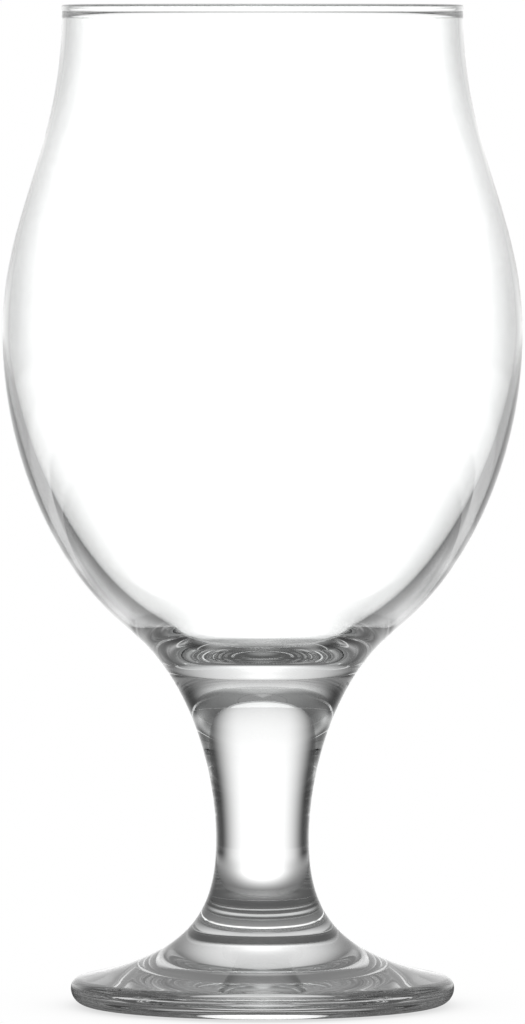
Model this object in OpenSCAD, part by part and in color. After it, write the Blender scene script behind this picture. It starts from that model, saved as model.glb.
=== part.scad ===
// Chalice beer glass: a blown bowl, a drawn stem and a pressed foot, fused end to end.
// It stands along +Z, with the origin at the centre of the plane that the foot rests on.

/* [Bowl] */
// Height of the bowl from the edge of its weld to the top of the lip
bowl_h = 125.5; // [100:0.5:150]
// Outside diameter of the lip, over its bead
lip_d = 74.6; // [60:0.2:90]
// Thickness of the fire-polished bead on the lip
lip_bead_d = 1.9; // [1.7:0.1:3]
// Wall thickness just under the bead
lip_wall = 1; // [0.8:0.1:1.6]
// Outside diameter of the belly
belly_d = 96.2; // [84:0.2:120]
// Height of the belly above the edge of the bowl's weld
belly_rise = 65; // [50:0.5:85]
// Wall thickness at the belly
belly_wall = 1.3; // [1:0.1:4]
// Outside diameter of the throat, where the bowl's swell turns into its flare
throat_d = 49.2; // [42:0.2:58]
// Height of the throat above the edge of the bowl's weld
throat_rise = 9.9; // [7:0.1:14]
// Slope of the wall at the throat, from the horizontal
throat_slope = 38; // [28:1:50]
// Wall thickness at the throat
throat_wall = 4.2; // [3:0.1:6]
// Slope of the bowl's inside there, from the horizontal
inner_slope = 36; // [30:1:46]
// Height of the bowl's inner floor above the edge of the weld
floor_rise = 6; // [3:0.1:9]

/* [Stem] */
// Height of the stem between the edges of its two welds
stem_h = 43.5; // [30:0.5:70]
// Diameter of the stem at its waist
waist_d = 17.2; // [12:0.1:22]
// Height of the waist above the edge of the foot's weld
waist_rise = 14.3; // [8:0.1:22]

/* [Welds] */
// Diameter of the weld between the bowl and the stem
bowl_weld_d = 32.4; // [26:0.1:38]
// Slope of the flare at the bowl's weld, from the horizontal
bowl_weld_slope = 59.5; // [45:0.5:75]
// Diameter of the weld between the stem and the foot
foot_weld_d = 24.4; // [20:0.1:32]
// Slope of the flare at the foot's weld, from the horizontal
foot_weld_slope = 55.5; // [45:0.5:75]
// How far the rounded end of one piece is pressed into the next
weld_dome = 0.8; // [0.4:0.1:1.6]

/* [Foot] */
// Height of the foot up to the edge of its weld
foot_h = 16; // [12:0.1:24]
// Diameter of the foot
foot_d = 71; // [60:0.5:90]
// Slope of the foot's top where it meets the rounded edge
foot_slope = 12; // [8:0.5:18]
// Radius of the upper half of the rounded edge
edge_upper_r = 2; // [1:0.1:2.5]
// Radius of the lower half of the rounded edge
edge_lower_r = 3; // [1.5:0.1:4]
// Width of the flat ring that the glass rests on
ring_w = 3; // [2:0.1:8]
// Rise of the dished underside, from the resting ring to the rim of the recess
dish_h = 0.4; // [0.2:0.1:1.2]
// Diameter of the recess pressed into the underside, at its rim
recess_d = 40; // [30:0.2:52]
// Diameter of the recess's flat top
recess_top_d = 26; // [12:0.2:34]
// Height of the recess's flat top above the plane that the glass rests on
recess_h = 3.5; // [1.5:0.1:8]
// Slope of the recess's side at its rim, from the horizontal
recess_slope = 54; // [35:1:75]

/* [Hidden] */
$fn = 120;
clear_glass = [0.88, 0.92, 0.93, 0.45];

// Fineness of the outlines
run_steps = 18;
arc_steps = 8;

// Pulls of each smooth run at its two ends, as shares of the straight distance between them
flare_top_shares = [0.348, 0.324];
swell_shares = [0.266, 0.406];
neck_shares = [0.364, 0.422];
inner_neck_shares = [0.385, 0.376];
inner_swell_shares = [0.324, 0.304];
inner_floor_shares = [0.6, 0.48];
stem_low_shares = [0.296, 0.413];
stem_high_shares = [0.322, 0.329];
foot_top_shares = [0.271, 0.47];
recess_side_shares = [0.3, 0.45];

// Heights of the two welds, and the heights that hang on them
foot_weld_z = foot_h;
waist_z = foot_weld_z + waist_rise;
bowl_weld_z = foot_weld_z + stem_h;
throat_z = bowl_weld_z + throat_rise;
belly_z = bowl_weld_z + belly_rise;
floor_z = bowl_weld_z + floor_rise;

// The bead is a full round that sits centred on the top of the wall
bead_r = lip_bead_d / 2;
bead_centre = [lip_d / 2 - bead_r, bowl_weld_z + bowl_h - bead_r];
bead_turn = acos(lip_wall / lip_bead_d);

// Directions of travel along an outline
up = [0, 1];
down = [0, -1];
inwards = [-1, 0];

// Direction at an angle, counted from straight outwards
function heading(angle) = [cos(angle), sin(angle)];

// Direction at a slope from the horizontal, upwards and towards the axis
function leaning_in(slope) = [-cos(slope), sin(slope)];

// Direction a quarter turn to the left of another
function square_to(direction) = [-direction.y, direction.x];

// Point at share t along a cubic curve with ends a and d and handles b and c
function along(a, b, c, d, t) =
  pow(1 - t, 3) * a + 3 * t * pow(1 - t, 2) * b + 3 * t * t * (1 - t) * c + pow(t, 3) * d;

// Smooth run from p to q that leaves and arrives in the given directions. It leaves p itself out,
// because the stretch before it ends there
function run(p, leave, q, arrive, pull_shares) =
  let (
    reach = norm(q - p),
    p_handle = p + reach * pull_shares[0] * leave,
    q_handle = q - reach * pull_shares[1] * arrive
  )
  [for (i = [1 : run_steps]) along(p, p_handle, q_handle, q, i / run_steps)];

// Round stretch about a centre, again without its first point
function turn(centre, radius, from, to) =
  [for (i = [1 : arc_steps]) centre + radius * heading(from + (to - from) * i / arc_steps)];

// Shallow dome from the axis out to its rim, where sag is the height of its centre over the rim
function dome(rim, sag) =
  let (
    radius = (rim.x * rim.x + sag * sag) / (2 * sag),
    spread = asin(rim.x / radius)
  )
  [for (i = [0 : arc_steps])
    [radius * sin(spread * i / arc_steps), rim.y + sag - radius * (1 - cos(spread * i / arc_steps))]];

// The same points in the opposite order
function back_along(points) = [for (i = [len(points) - 1 : -1 : 0]) points[i]];

// Where the outlines meet, as distance from the axis and height
bowl_weld = [bowl_weld_d / 2, bowl_weld_z];
foot_weld = [foot_weld_d / 2, foot_weld_z];
waist = [waist_d / 2, waist_z];
throat = [throat_d / 2, throat_z];
belly = [belly_d / 2, belly_z];
neck = bead_centre + bead_r * heading(-bead_turn);
inner_neck = bead_centre + bead_r * heading(180 + bead_turn);
inner_belly = belly - [belly_wall, 0];
inner_throat = throat + throat_wall * square_to(heading(throat_slope));
floor_centre = [0, floor_z];
edge_top_angle = 90 - foot_slope;
edge_upper_centre = [foot_d / 2 - edge_upper_r, edge_lower_r];
edge_lower_centre = [foot_d / 2 - edge_lower_r, edge_lower_r];
edge_top = edge_upper_centre + edge_upper_r * heading(edge_top_angle);
ring_inner = [edge_lower_centre.x - ring_w, 0];
recess_rim = [recess_d / 2, dish_h];
recess_top = [recess_top_d / 2, recess_h];
recess_centre = [0, recess_h];

// The bowl's rounded end is pressed down into the stem, and the foot's boss up into it
bowl_seat = dome(bowl_weld, -weld_dome);
foot_seat = dome(foot_weld, weld_dome);

// Tulip bowl with its solid flare, thin at the lip and heavy towards the floor
module bowl() {
  color(clear_glass)
  rotate_extrude()
  polygon(concat(
    bowl_seat,
    run(bowl_weld, heading(bowl_weld_slope), throat, heading(throat_slope), flare_top_shares),
    run(throat, heading(throat_slope), belly, up, swell_shares),
    run(belly, up, neck, up, neck_shares),
    turn(bead_centre, bead_r, -bead_turn, 180 + bead_turn),
    run(inner_neck, down, inner_belly, down, inner_neck_shares),
    run(inner_belly, down, inner_throat, -heading(inner_slope), inner_swell_shares),
    run(inner_throat, -heading(inner_slope), floor_centre, inwards, inner_floor_shares)
  ));
}

// Solid stem that narrows to its waist and flares to both welds
module stem() {
  color(clear_glass)
  rotate_extrude()
  polygon(concat(
    foot_seat,
    run(foot_weld, leaning_in(foot_weld_slope), waist, up, stem_low_shares),
    run(waist, up, bowl_weld, heading(bowl_weld_slope), stem_high_shares),
    back_along([for (i = [0 : arc_steps - 1]) bowl_seat[i]])
  ));
}

// Disc foot with a boss for the stem, a rounded edge, and underneath a resting ring, a shallow dish
// and a flat-topped recess
module foot() {
  color(clear_glass)
  rotate_extrude()
  polygon(concat(
    foot_seat,
    run(foot_weld, -leaning_in(foot_weld_slope), edge_top, -leaning_in(foot_slope), foot_top_shares),
    turn(edge_upper_centre, edge_upper_r, edge_top_angle, 0),
    turn(edge_lower_centre, edge_lower_r, 0, -90),
    [ring_inner],
    [recess_rim],
    run(recess_rim, leaning_in(recess_slope), recess_top, inwards, recess_side_shares),
    [recess_centre]
  ));
}

bowl();
stem();
foot();
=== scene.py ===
import math

import bpy
import numpy as np
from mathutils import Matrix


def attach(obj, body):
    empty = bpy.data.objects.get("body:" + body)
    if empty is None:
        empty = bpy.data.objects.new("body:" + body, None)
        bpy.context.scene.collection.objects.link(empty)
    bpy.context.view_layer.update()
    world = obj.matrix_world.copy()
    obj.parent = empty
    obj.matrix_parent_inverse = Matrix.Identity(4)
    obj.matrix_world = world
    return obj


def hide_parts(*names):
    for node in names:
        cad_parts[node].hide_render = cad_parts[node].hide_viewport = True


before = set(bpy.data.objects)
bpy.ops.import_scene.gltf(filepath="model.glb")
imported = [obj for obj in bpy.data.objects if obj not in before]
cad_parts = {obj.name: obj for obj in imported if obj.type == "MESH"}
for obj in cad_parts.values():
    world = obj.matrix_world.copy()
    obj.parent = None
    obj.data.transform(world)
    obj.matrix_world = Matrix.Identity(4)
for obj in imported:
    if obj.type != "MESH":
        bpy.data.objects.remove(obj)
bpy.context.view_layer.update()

# Chalice beer glass: bowl, stem and foot are turned about the Z axis and fused at two domed welds.
# The pieces' lengths are in millimetres and become metres when a mesh is made. Lengths in glass, studio
# and view are in metres. Every angle is written in degrees.

scene = bpy.context.scene
millimetre = 0.001        # in metres
sides = 256               # of every turned piece
up, down = np.array([0.0, 1.0]), np.array([0.0, -1.0])
outwards, inwards = np.array([1.0, 0.0]), np.array([-1.0, 0.0])


# direction at an angle, counted from straight outwards
def heading(angle):
    return np.array([math.cos(math.radians(angle)), math.sin(math.radians(angle))])


# direction at a slope from the horizontal, upwards and towards the axis
def leaningIn(slope):
    return heading(slope) * (-1, 1)


# exp(-x^2 / 2), where x is a distance divided by its spread
def bell(distance, spread):
    return np.exp(-0.5 * (distance / spread) ** 2)


# even steps from start to stop. A stretch of outline leaves its first point to the stretch before it
def evenSteps(start, stop, steps):
    return np.linspace(start, stop, steps + 1)[1:]


# straight line: p plus a growing share of the way to q
def straightRun(p, q, steps):
    return p + evenSteps(0, 1, steps)[:, None] * (q - p)


# cubic curve from p to q whose handles lie along the two directions. The run gives their pulls, as shares
# of the straight distance, and the number of steps
def smoothRun(p, leave, q, arrive, run):
    leavePull, arrivePull, steps = run
    reach = np.linalg.norm(q - p)
    pHandle, qHandle = p + reach * leavePull * leave, q - reach * arrivePull * arrive
    t = evenSteps(0, 1, steps)[:, None]
    return (1 - t) ** 3 * p + 3 * t * (1 - t) ** 2 * pHandle + 3 * t ** 2 * (1 - t) * qHandle + t ** 3 * q


# arc: centre plus radius times the heading of each angle
def roundTurn(centre, radius, start, stop, steps):
    angles = np.radians(evenSteps(start, stop, steps))
    return centre + radius * np.stack([np.cos(angles), np.sin(angles)], 1)


# cap of a sphere from the axis to its rim; sag is the height of its centre over the rim
def shallowDome(rim, sag, steps):
    radius = (rim[0] ** 2 + sag ** 2) / (2 * sag)
    angles = math.asin(rim[0] / radius) * np.linspace(0, 1, steps + 1)
    return np.stack([radius * np.sin(angles), rim[1] + sag - radius * (1 - np.cos(angles))], 1)


# outline whose bend changes gently round a place: each point moves to the bell-weighted mean of the
# outline's points, and the move fades out away from that place
def eased(points, place, spread, fadeSpread):
    along = np.concatenate([[0], np.cumsum(np.linalg.norm(np.diff(points, axis=0), axis=1))])
    weights = bell(along[:, None] - along, spread) * np.gradient(along)
    mean = weights @ points / weights.sum(1, keepdims=True)
    middle = along[np.argmin(np.linalg.norm(points - place, axis=1))]
    return points + bell(along - middle, fadeSpread)[:, None] * (mean - points)


# the two welds, where one piece's outline hands over to the next
welds = {
    "bowlDiameter": 32.4, "bowlHeight": 59.5, "bowlSlope": 59.5,
    "footDiameter": 24.4, "footHeight": 16.0, "footSlope": 55.5,
    "dome": 0.8,          # how far one rounded end is pressed into the next
    "gap": 0.01,          # keeps the two faces of a weld apart
    "steps": 12,
}
bowlWeld = np.array([welds["bowlDiameter"] / 2, welds["bowlHeight"]])
footWeld = np.array([welds["footDiameter"] / 2, welds["footHeight"]])
bowlSeat = shallowDome(bowlWeld, -welds["dome"], welds["steps"])
footSeat = shallowDome(footWeld, welds["dome"], welds["steps"])

# look numbers in a piece's outline: bare glass, and glass fused to the next piece
bare, fused = 0, 1


# surface of revolution: point (r cos a, r sin a, z) for every outline point (r, z) and every angle a.
# The outline starts and ends on the axis, so each end closes in one point with a fan of triangles
def turnPiece(name, stretches):
    outline = np.vstack([points for points, look in stretches])
    looks = np.concatenate([[look] * len(points) for points, look in stretches])
    angles = 2 * np.pi * np.arange(sides) / sides
    rings = outline[1:-1]
    grid = np.stack([rings[:, :1] * np.cos(angles), rings[:, :1] * np.sin(angles),
                     np.repeat(rings[:, 1:], sides, 1)], 2)
    first, last = [0, 0, outline[0, 1]], [0, 0, outline[-1, 1]]
    points = np.vstack([grid.reshape(-1, 3), [first, last]]) * millimetre
    here = np.arange(sides)
    beside = (here + 1) % sides
    rows = sides * np.arange(len(rings) - 1)[:, None]
    nextRows = rows + sides
    quads = np.stack([rows + here, rows + beside, nextRows + beside, nextRows + here], 2).reshape(-1, 4)
    end = sides * (len(rings) - 1)
    firstFan = np.stack([np.full(sides, sides * len(rings)), beside, here], 1)
    lastFan = np.stack([np.full(sides, sides * len(rings) + 1), end + here, end + beside], 1)
    mesh = bpy.data.meshes.new(name)
    mesh.from_pydata(points.tolist(), [], quads.tolist() + firstFan.tolist() + lastFan.tolist())
    faceLooks = np.repeat(np.concatenate([looks[2:-1], looks[1:2], looks[-1:]]), sides)
    mesh.polygons.foreach_set("material_index", faceLooks.astype(np.int32))
    mesh.polygons.foreach_set("use_smooth", np.ones(len(mesh.polygons), bool))
    # rings where the look changes are the rims of the welds: their edges stay sharp
    rims = np.flatnonzero(looks[2:-1] != looks[1:-2])
    edges = np.zeros(len(mesh.edges) * 2, np.int32)
    mesh.edges.foreach_get("vertices", edges)
    edgeRings = edges.reshape(-1, 2) // sides
    sharp = np.isin(edgeRings, rims).all(1) & (edgeRings[:, 0] == edgeRings[:, 1])
    mesh.attributes.new("sharp_edge", "BOOLEAN", "EDGE").data.foreach_set("value", sharp)
    piece = bpy.data.objects.new(name, mesh)
    scene.collection.objects.link(piece)
    print(name, len(points), "points,", len(mesh.polygons), "faces,", int(sharp.sum()), "sharp edges")
    return piece


bowl = {
    "height": 125.5, "lipDiameter": 74.6, "beadDiameter": 1.5, "lipWall": 1.0,
    "bellyDiameter": 96.2, "bellyRise": 65.0, "bellyWall": 1.3,
    "throatDiameter": 49.2, "throatRise": 9.9, "throatSlope": 38.0, "throatWall": 4.2,
    "innerSlope": 36.0, "floorRise": 6.0,
    # runs of the outline: pull at the start, pull at the end, steps
    "flare": (0.348, 0.324, 26), "swell": (0.266, 0.406, 70), "neck": (0.364, 0.422, 60),
    "innerNeck": (0.385, 0.376, 60), "innerSwell": (0.324, 0.304, 64), "innerFloor": (0.6, 0.48, 48),
    "beadSteps": 24,
    "easing": (1.5, 4.5),        # length over which the bend changes at the throat, and how far it reaches
}


# tulip bowl: up the outside from the weld to the bead, over it, and down the inside to the floor
def makeBowl():
    beadRadius = bowl["beadDiameter"] / 2
    beadCentre = np.array([bowl["lipDiameter"] / 2, bowlWeld[1] + bowl["height"]]) - beadRadius
    beadTurn = math.degrees(math.acos(bowl["lipWall"] / bowl["beadDiameter"]))
    neck, innerNeck = (beadCentre + beadRadius * heading(a) for a in (-beadTurn, 180 + beadTurn))
    belly = np.array([bowl["bellyDiameter"] / 2, bowlWeld[1] + bowl["bellyRise"]])
    innerBelly = belly - (bowl["bellyWall"], 0)
    throat = np.array([bowl["throatDiameter"] / 2, bowlWeld[1] + bowl["throatRise"]])
    rising = heading(bowl["throatSlope"])
    innerThroat = throat + bowl["throatWall"] * np.array([-rising[1], rising[0]])
    sinking = -heading(bowl["innerSlope"])
    floorCentre = np.array([0.0, bowlWeld[1] + bowl["floorRise"]])
    outside = np.vstack([
        smoothRun(bowlWeld, heading(welds["bowlSlope"]), throat, rising, bowl["flare"]),
        smoothRun(throat, rising, belly, up, bowl["swell"]),
    ])
    inside = np.vstack([
        smoothRun(innerBelly, down, innerThroat, sinking, bowl["innerSwell"]),
        smoothRun(innerThroat, sinking, floorCentre, inwards, bowl["innerFloor"]),
    ])
    wall = np.vstack([
        eased(outside, throat, *bowl["easing"]),
        smoothRun(belly, up, neck, up, bowl["neck"]),
        roundTurn(beadCentre, beadRadius, -beadTurn, 180 + beadTurn, bowl["beadSteps"]),
        smoothRun(innerNeck, down, innerBelly, down, bowl["innerNeck"]),
        eased(inside, innerThroat, *bowl["easing"]),
    ])
    wall[-1, 0] = 0.0        # the floor's centre stays on the axis
    return turnPiece("tulipBowl", [(bowlSeat, fused), (wall, bare)])


stem = {
    "waistDiameter": 17.2, "waistRise": 14.3,
    "low": (0.296, 0.413, 44), "high": (0.322, 0.329, 76),
}


# drawn stem: from the boss of the foot in to the waist and out again to the bowl's weld
def makeStem():
    waist = np.array([stem["waistDiameter"] / 2, footWeld[1] + stem["waistRise"]])
    apart = np.array([0, welds["gap"]])
    side = np.vstack([
        smoothRun(footWeld + apart, leaningIn(welds["footSlope"]), waist, up, stem["low"]),
        smoothRun(waist, up, bowlWeld - apart, heading(welds["bowlSlope"]), stem["high"]),
    ])
    lowEnd, highEnd = footSeat + apart, bowlSeat[-2::-1] - apart
    return turnPiece("waistedStem", [(lowEnd, fused), (side, bare), (highEnd, fused)])


foot = {
    "diameter": 71.0, "slope": 12.0, "top": (0.47, 0.271, 64),
    "upperRound": 2.0, "upperSteps": 20, "lowerRound": 3.0, "lowerSteps": 24,
    "ringWidth": 3.0, "ringSteps": 2,
    "dish": 0.4, "dishSteps": 8,        # rise of the underside from the resting ring to the recess
    "recessDiameter": 40.0, "recessSlope": 54.0, "recessSide": (0.45, 0.3, 30),
    "recessTop": 26.0, "recessHeight": 3.5, "recessSteps": 9,
}


# disc foot: from the flat-topped recess underneath out over the dish and the resting ring to the rounded
# edge, and up the sloping top to the boss
def makeFoot():
    edge = foot["diameter"] / 2
    upperCentre = np.array([edge - foot["upperRound"], foot["lowerRound"]])
    lowerCentre = np.array([edge - foot["lowerRound"], foot["lowerRound"]])
    edgeTop = upperCentre + foot["upperRound"] * heading(90 - foot["slope"])
    ringOuter = np.array([lowerCentre[0], 0.0])
    ringInner = ringOuter - (foot["ringWidth"], 0)
    recessRim = np.array([foot["recessDiameter"] / 2, foot["dish"]])
    recessTop = np.array([foot["recessTop"] / 2, foot["recessHeight"]])
    recessCentre = np.array([0.0, foot["recessHeight"]])
    skin = np.vstack([
        recessCentre,
        straightRun(recessCentre, recessTop, foot["recessSteps"]),
        smoothRun(recessTop, outwards, recessRim, -leaningIn(foot["recessSlope"]), foot["recessSide"]),
        straightRun(recessRim, ringInner, foot["dishSteps"]),
        straightRun(ringInner, ringOuter, foot["ringSteps"]),
        roundTurn(lowerCentre, foot["lowerRound"], -90, 0, foot["lowerSteps"]),
        roundTurn(upperCentre, foot["upperRound"], 0, 90 - foot["slope"], foot["upperSteps"]),
        smoothRun(edgeTop, leaningIn(foot["slope"]), footWeld, leaningIn(welds["footSlope"]), foot["top"]),
    ])
    return turnPiece("discFoot", [(skin, bare), (footSeat[-2::-1], fused)])


# sets a socket to a number or a colour, or links an output to it
def feed(tree, socket, value):
    if isinstance(value, bpy.types.NodeSocket):
        tree.links.new(value, socket)
    else:
        socket.default_value = value


# node with its settings, fed in the order of its inputs or by their names
def addNode(tree, kind, settings=None, *values, **named):
    node = tree.nodes.new(kind)
    for key, value in (settings or {}).items():
        setattr(node, key, value)
    for socket, value in zip(node.inputs, values):
        feed(tree, socket, value)
    for key, value in named.items():
        feed(tree, node.inputs[key.replace("_", " ")], value)
    return node


# result of a sum on numbers
def mathNode(tree, operation, *values):
    return addNode(tree, "ShaderNodeMath", {"operation": operation}, *values).outputs[0]


# outputs of a sum on vectors
def vectorNode(tree, operation, *values):
    return addNode(tree, "ShaderNodeVectorMath", {"operation": operation}, *values).outputs


# from first to second as the share goes from 0 to 1; kind is FLOAT or RGBA
def blendNode(tree, kind, share, first, second):
    node = addNode(tree, "ShaderNodeMix", {"data_type": kind}, Factor=share, A=first, B=second)
    return node.outputs["Result"]


# soft step from 0 to 1 between two limits
def softStep(tree, value, start, stop):
    return addNode(tree, "ShaderNodeMapRange", {"interpolation_type": "SMOOTHSTEP"}, Value=value,
                   From_Min=start, From_Max=stop).outputs["Result"]


glass = {
    # how each glass flowed while hot: waves across the axis, their share along it, weight of the streaks,
    # and depth of the bump
    "blown": {"index": 1.52, "waves": 55.0, "draw": 0.35, "streaks": 0.05, "depth": 0.000010},
    "drawn": {"index": 1.52, "waves": 70.0, "draw": 0.25, "streaks": 0.05, "depth": 0.000008},
    "pressed": {"index": 1.52, "waves": 80.0, "draw": 1.0, "streaks": 0.05, "depth": 0.000008},
    "weld": {"index": 1.0005, "waves": 60.0, "draw": 0.4, "streaks": 0.0, "depth": 0.0},
    "wave": {"Detail": 2.0, "Roughness": 0.4},
    "streak": {"Scale": 420.0, "Detail": 3.0, "Roughness": 0.6},
    "tints": ((0.978, 0.986, 0.984, 1), (0.996, 0.998, 0.997, 1)),
    "haze": 0.012, "hazeFrom": 0.35, "hazeTo": 0.8,
    # painted shade: colour of the dark line on the bead's crest, and the heights where it starts and ends
    "paintedCrestShade": (0.12, 0.125, 0.125, 1), "paintedCrestShadeFrom": 0.18455, "paintedCrestShadeTo": 0.18475,      # by height
}


# node group: a stretched noise that puts out a tint, a trace of haze and the height of the waves. On the
# crest of the bead the tint turns to a painted shade, which shows as a thin dark line along the rim
def makeFlow():
    tree = bpy.data.node_groups.new("glassFlow", "ShaderNodeTree")
    for name in ("Waves", "Draw", "Streaks"):
        tree.interface.new_socket(name, in_out="INPUT", socket_type="NodeSocketFloat")
    for name, kind in (("Tint", "Color"), ("Haze", "Float"), ("Height", "Float")):
        tree.interface.new_socket(name, in_out="OUTPUT", socket_type="NodeSocket" + kind)
    given = addNode(tree, "NodeGroupInput").outputs
    place = addNode(tree, "ShaderNodeTexCoord").outputs["Object"]
    stretch = addNode(tree, "ShaderNodeCombineXYZ", X=1.0, Y=1.0, Z=given["Draw"]).outputs[0]
    drawn = vectorNode(tree, "MULTIPLY", place, stretch)["Vector"]
    wave = addNode(tree, "ShaderNodeTexNoise", Vector=drawn, Scale=given["Waves"],
                   **glass["wave"]).outputs[0]
    streak = addNode(tree, "ShaderNodeTexNoise", Vector=drawn, **glass["streak"]).outputs[0]
    haze = addNode(tree, "ShaderNodeMapRange", Value=streak, From_Min=glass["hazeFrom"],
                   From_Max=glass["hazeTo"], To_Min=0.0, To_Max=glass["haze"]).outputs["Result"]
    level = addNode(tree, "ShaderNodeSeparateXYZ", Vector=place).outputs["Z"]
    # painted shade on the crest of the bead, by height
    paintedCrestShadeShare = softStep(tree, level, glass["paintedCrestShadeFrom"], glass["paintedCrestShadeTo"])
    wavy = blendNode(tree, "RGBA", wave, *glass["tints"])
    tintAndPaintedShade = blendNode(tree, "RGBA", paintedCrestShadeShare, wavy, glass["paintedCrestShade"])
    height = mathNode(tree, "MULTIPLY_ADD", streak, given["Streaks"], wave)
    addNode(tree, "NodeGroupOutput", Tint=tintAndPaintedShade, Haze=haze, Height=height)
    return tree


# clear glass: full transmission with the flow's tint and the painted shade on the bead's crest. Bare glass
# takes the flow's haze and waves too. Inside a weld the index is nearly the same on both sides, so light goes
# straight on
def makeGlass(finish, flow):
    settings = glass[finish]
    material = bpy.data.materials.new(finish + "Glass")
    material.use_nodes = True
    tree = material.node_tree
    shader = tree.nodes["Principled BSDF"].inputs
    group = addNode(tree, "ShaderNodeGroup", {"node_tree": flow}, Waves=settings["waves"],
                    Draw=settings["draw"], Streaks=settings["streaks"]).outputs
    feed(tree, shader["Transmission Weight"], 1.0)
    feed(tree, shader["IOR"], settings["index"])
    feed(tree, shader["Base Color"], group["Tint"])
    if settings["depth"]:
        bump = addNode(tree, "ShaderNodeBump", Strength=1.0, Distance=settings["depth"],
                       Height=group["Height"])
        feed(tree, shader["Roughness"], group["Haze"])
        feed(tree, shader["Normal"], bump.outputs["Normal"])
    else:
        feed(tree, shader["Roughness"], 0.0)
    return material


flowGroup = makeFlow()
weldGlass = makeGlass("weld", flowGroup)
pieces = ((makeBowl, "bowl", "blown"), (makeStem, "stem", "drawn"), (makeFoot, "foot", "pressed"))
for make, node, finish in pieces:
    piece = make()
    piece.data.materials.append(makeGlass(finish, flowGroup))
    piece.data.materials.append(weldGlass)
    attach(piece, "root")
    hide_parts(node)
print("pieces made")


# what the glass has round it
behind, inFront, right, left = (0, 1, 0), (0, -1, 0), (1, 0, 0), (-1, 0, 0)
studio = {
    "dark": 0.05, "mirrored": 0.7,      # surroundings, and the share that light keeps when glass reflects it
    "page": 1.2, "walls": 3.5,          # what shows through the hollow bowl, behind more walls than this
    "pageFrom": 0.04, "pageTo": 0.07,   # where it starts on the floor
    # broad light behind, even to the first angle and gone at the second
    "panel": 1.1, "panelFrom": 13.5, "panelTo": 51, "panelUp": 48,
    # spots: direction, strength in the middle, spread to the sides, spread upwards
    "spots": [(behind, 0.6, 7, 6), (inFront, 0.5, 38, 25), (right, 0.5, 12, 20), (left, 0.5, 12, 20)],
    "top": 0.3, "topFrom": 30, "topTo": 75,        # soft light overhead
    "down": 1.0, "downFrom": 9, "downTo": 12,      # pale ground beyond the floor, under the horizon
    "floorReach": 0.25, "floorDrop": 0.0003, "floorSides": 96,
    # the floor is brighter on four sides: direction, added strength, spread
    "floorLight": 0.35,
    "floorGlow": [(behind, 1.5, 14), (inFront, 0.6, 35), (right, 0.5, 16), (left, 0.5, 16)],
    "floorShade": 0.14, "shadeFrom": 0.033, "shadeTo": 0.1,      # the foot's shade, by distance from the axis
    "middle": 0.25, "middleFrom": 0.004, "middleTo": 0.012,      # light that the stem gathers under the foot
    "farFrom": 0.08, "farTo": 0.18,                # where the floor turns into the surroundings
    "contact": 0.04, "contactShade": 0.7, "contactSamples": 8,   # the shade that the eye sees round the foot
}


# soft step between two angles
def softTurn(tree, angle, start, stop):
    return softStep(tree, angle, math.radians(start), math.radians(stop))


# exp(-x^2 / 2), where x is an angle divided by its spread
def bellNode(tree, angle, spread):
    share = mathNode(tree, "DIVIDE", angle, math.radians(spread))
    square = mathNode(tree, "MULTIPLY", share, share)
    return mathNode(tree, "EXPONENT", mathNode(tree, "MULTIPLY", square, -0.5))


# angle between a direction, laid flat, and the way that a light faces
def turnFrom(tree, direction, facing):
    level = vectorNode(tree, "MULTIPLY", direction, (1, 1, 0))["Vector"]
    flat = vectorNode(tree, "NORMALIZE", level)["Vector"]
    return mathNode(tree, "ARCCOSINE", vectorNode(tree, "DOT_PRODUCT", flat, facing)["Value"])


# light by direction and by its rise over the horizon: the panel behind, which fades out between its two
# angles, and the sum of the spots
def levelLight(tree, direction, rise):
    edge = softTurn(tree, turnFrom(tree, direction, behind), studio["panelFrom"], studio["panelTo"])
    panel = mathNode(tree, "MULTIPLY_ADD", edge, -studio["panel"], studio["panel"])
    total = mathNode(tree, "MULTIPLY", panel, bellNode(tree, rise, studio["panelUp"]))
    for facing, strength, spread, spreadUp in studio["spots"]:
        glow = bellNode(tree, turnFrom(tree, direction, facing), spread)
        spot = mathNode(tree, "MULTIPLY", glow, strength)
        total = mathNode(tree, "MULTIPLY_ADD", spot, bellNode(tree, rise, spreadUp), total)
    return total


# strength of what is seen: white to the eye, and for the glass the studio's light. Light that the glass
# reflects loses a share. What is seen straight through the hollow bowl is at least as bright as the page
def seenStrength(tree, light, toEye=1.0, pageShare=1.0):
    sight = addNode(tree, "ShaderNodeLightPath").outputs
    turned = mathNode(tree, "MINIMUM", sight["Glossy Depth"], 1.0)
    kept = mathNode(tree, "MULTIPLY_ADD", turned, studio["mirrored"] - 1, 1.0)
    through = mathNode(tree, "GREATER_THAN", sight["Transmission Depth"], studio["walls"])
    straight = mathNode(tree, "MULTIPLY", mathNode(tree, "SUBTRACT", 1.0, turned), through)
    least = mathNode(tree, "MULTIPLY", mathNode(tree, "MULTIPLY", straight, studio["page"]), pageShare)
    shown = mathNode(tree, "MAXIMUM", mathNode(tree, "MULTIPLY", light, kept), least)
    return blendNode(tree, "FLOAT", sight["Is Camera Ray"], shown, toEye)


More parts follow.
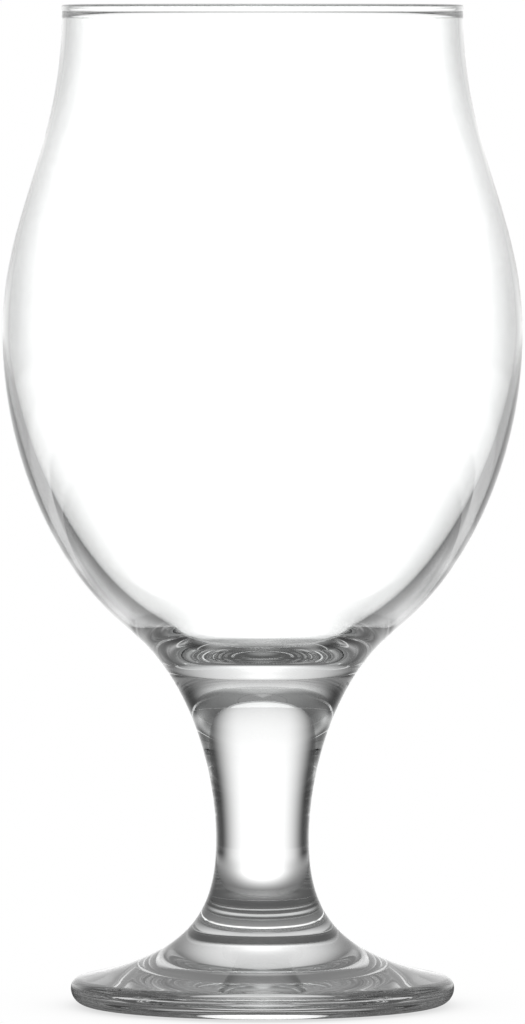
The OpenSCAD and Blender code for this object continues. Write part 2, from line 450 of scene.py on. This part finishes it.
# surroundings: the level light fades upwards from the horizon, a soft light stands overhead, and pale
# ground goes on beyond the floor
def makeWorld():
    world = bpy.data.worlds.new("studio")
    scene.world = world
    world.use_nodes = True
    tree = world.node_tree
    direction = addNode(tree, "ShaderNodeTexCoord").outputs["Generated"]
    parts = addNode(tree, "ShaderNodeSeparateXYZ", Vector=direction).outputs
    slope = mathNode(tree, "ARCSINE", parts["Z"])
    rise, fall = mathNode(tree, "MAXIMUM", slope, 0.0), mathNode(tree, "MULTIPLY", slope, -1.0)
    overhead = softTurn(tree, rise, studio["topFrom"], studio["topTo"])
    lit = mathNode(tree, "MULTIPLY_ADD", overhead, studio["top"], levelLight(tree, direction, rise))
    below = softTurn(tree, fall, studio["downFrom"], studio["downTo"])
    light = mathNode(tree, "MAXIMUM", mathNode(tree, "ADD", lit, studio["dark"]),
                     mathNode(tree, "MULTIPLY", below, studio["down"]))
    back = tree.nodes["Background"].inputs
    feed(tree, back["Color"], (1, 1, 1, 1))
    feed(tree, back["Strength"], seenStrength(tree, light))


# pale floor: white to the eye, less the shade round the foot. What glass shows of it grows from the
# foot's shade to full light, brighter on four sides, and turns into the surroundings far away
def makePaleFloor():
    material = bpy.data.materials.new("paleFloor")
    material.use_nodes = True
    tree = material.node_tree
    tree.nodes.remove(tree.nodes["Principled BSDF"])
    place = addNode(tree, "ShaderNodeTexCoord").outputs["Object"]
    distance = vectorNode(tree, "LENGTH", place)["Value"]

    # soft step by distance, between two limits in the studio
    def stepOut(name):
        return softStep(tree, distance, studio[name + "From"], studio[name + "To"])

    # full light less the shade, times the soft step, plus the shade again
    lit = studio["floorLight"] - studio["floorShade"]
    for facing, strength, spread in studio["floorGlow"]:
        glow = bellNode(tree, turnFrom(tree, place, facing), spread)
        lit = mathNode(tree, "MULTIPLY_ADD", glow, strength, lit)
    shaded = mathNode(tree, "MULTIPLY_ADD", stepOut("middle"), -studio["middle"],
                      studio["middle"] + studio["floorShade"])
    near = mathNode(tree, "MULTIPLY_ADD", lit, stepOut("shade"), shaded)
    far = mathNode(tree, "ADD", levelLight(tree, place, 0.0), studio["dark"])
    light = blendNode(tree, "FLOAT", stepOut("far"), near, far)
    contact = addNode(tree, "ShaderNodeAmbientOcclusion", {"samples": studio["contactSamples"]},
                      Distance=studio["contact"]).outputs["AO"]
    toEye = addNode(tree, "ShaderNodeMapRange", Value=contact, From_Min=0.0, From_Max=1.0,
                    To_Min=studio["contactShade"], To_Max=1.0).outputs["Result"]
    strength = seenStrength(tree, light, toEye, stepOut("page"))
    white = addNode(tree, "ShaderNodeEmission", Strength=strength)
    feed(tree, tree.nodes["Material Output"].inputs["Surface"], white.outputs[0])
    return material


# round floor: one face whose corners are (reach cos a, reach sin a), just under the foot
def makeFloor():
    corners = studio["floorSides"]
    angles = 2 * np.pi * np.arange(corners) / corners
    rim = studio["floorReach"] * np.stack([np.cos(angles), np.sin(angles), np.zeros(corners)], 1)
    mesh = bpy.data.meshes.new("floor")
    mesh.from_pydata((rim - (0, 0, studio["floorDrop"])).tolist(), [], [list(range(corners))])
    floor = bpy.data.objects.new("floor", mesh)
    scene.collection.objects.link(floor)
    mesh.materials.append(makePaleFloor())


view = {
    "distance": 2.110, "height": 0.190, "aim": 0.0912, "clipEnd": 100,
    "lens": 401.6, "sensor": 36,        # in millimetres
}


# camera in front of the glass, tilted down from its own height to the height that it aims at
def makeCamera():
    camera = bpy.data.cameras.new("camera")
    camera.lens = view["lens"]
    camera.sensor_width = view["sensor"]
    camera.clip_end = view["clipEnd"]
    eye = bpy.data.objects.new("camera", camera)
    eye.location = (0, -view["distance"], view["height"])
    tilt = math.atan2(view["height"] - view["aim"], view["distance"])
    eye.rotation_euler = (math.pi / 2 - tilt, 0, 0)
    scene.collection.objects.link(eye)
    scene.camera = eye


# how often light may turn in the glass
bounces = {
    "max_bounces": 48, "glossy_bounces": 32,
    "transmission_bounces": 48, "transparent_max_bounces": 48,
}

makeWorld()
makeFloor()
makeCamera()
scene.view_settings.view_transform = "Standard"
for key, value in bounces.items():
    setattr(scene.cycles, key, value)
print("studio ready")
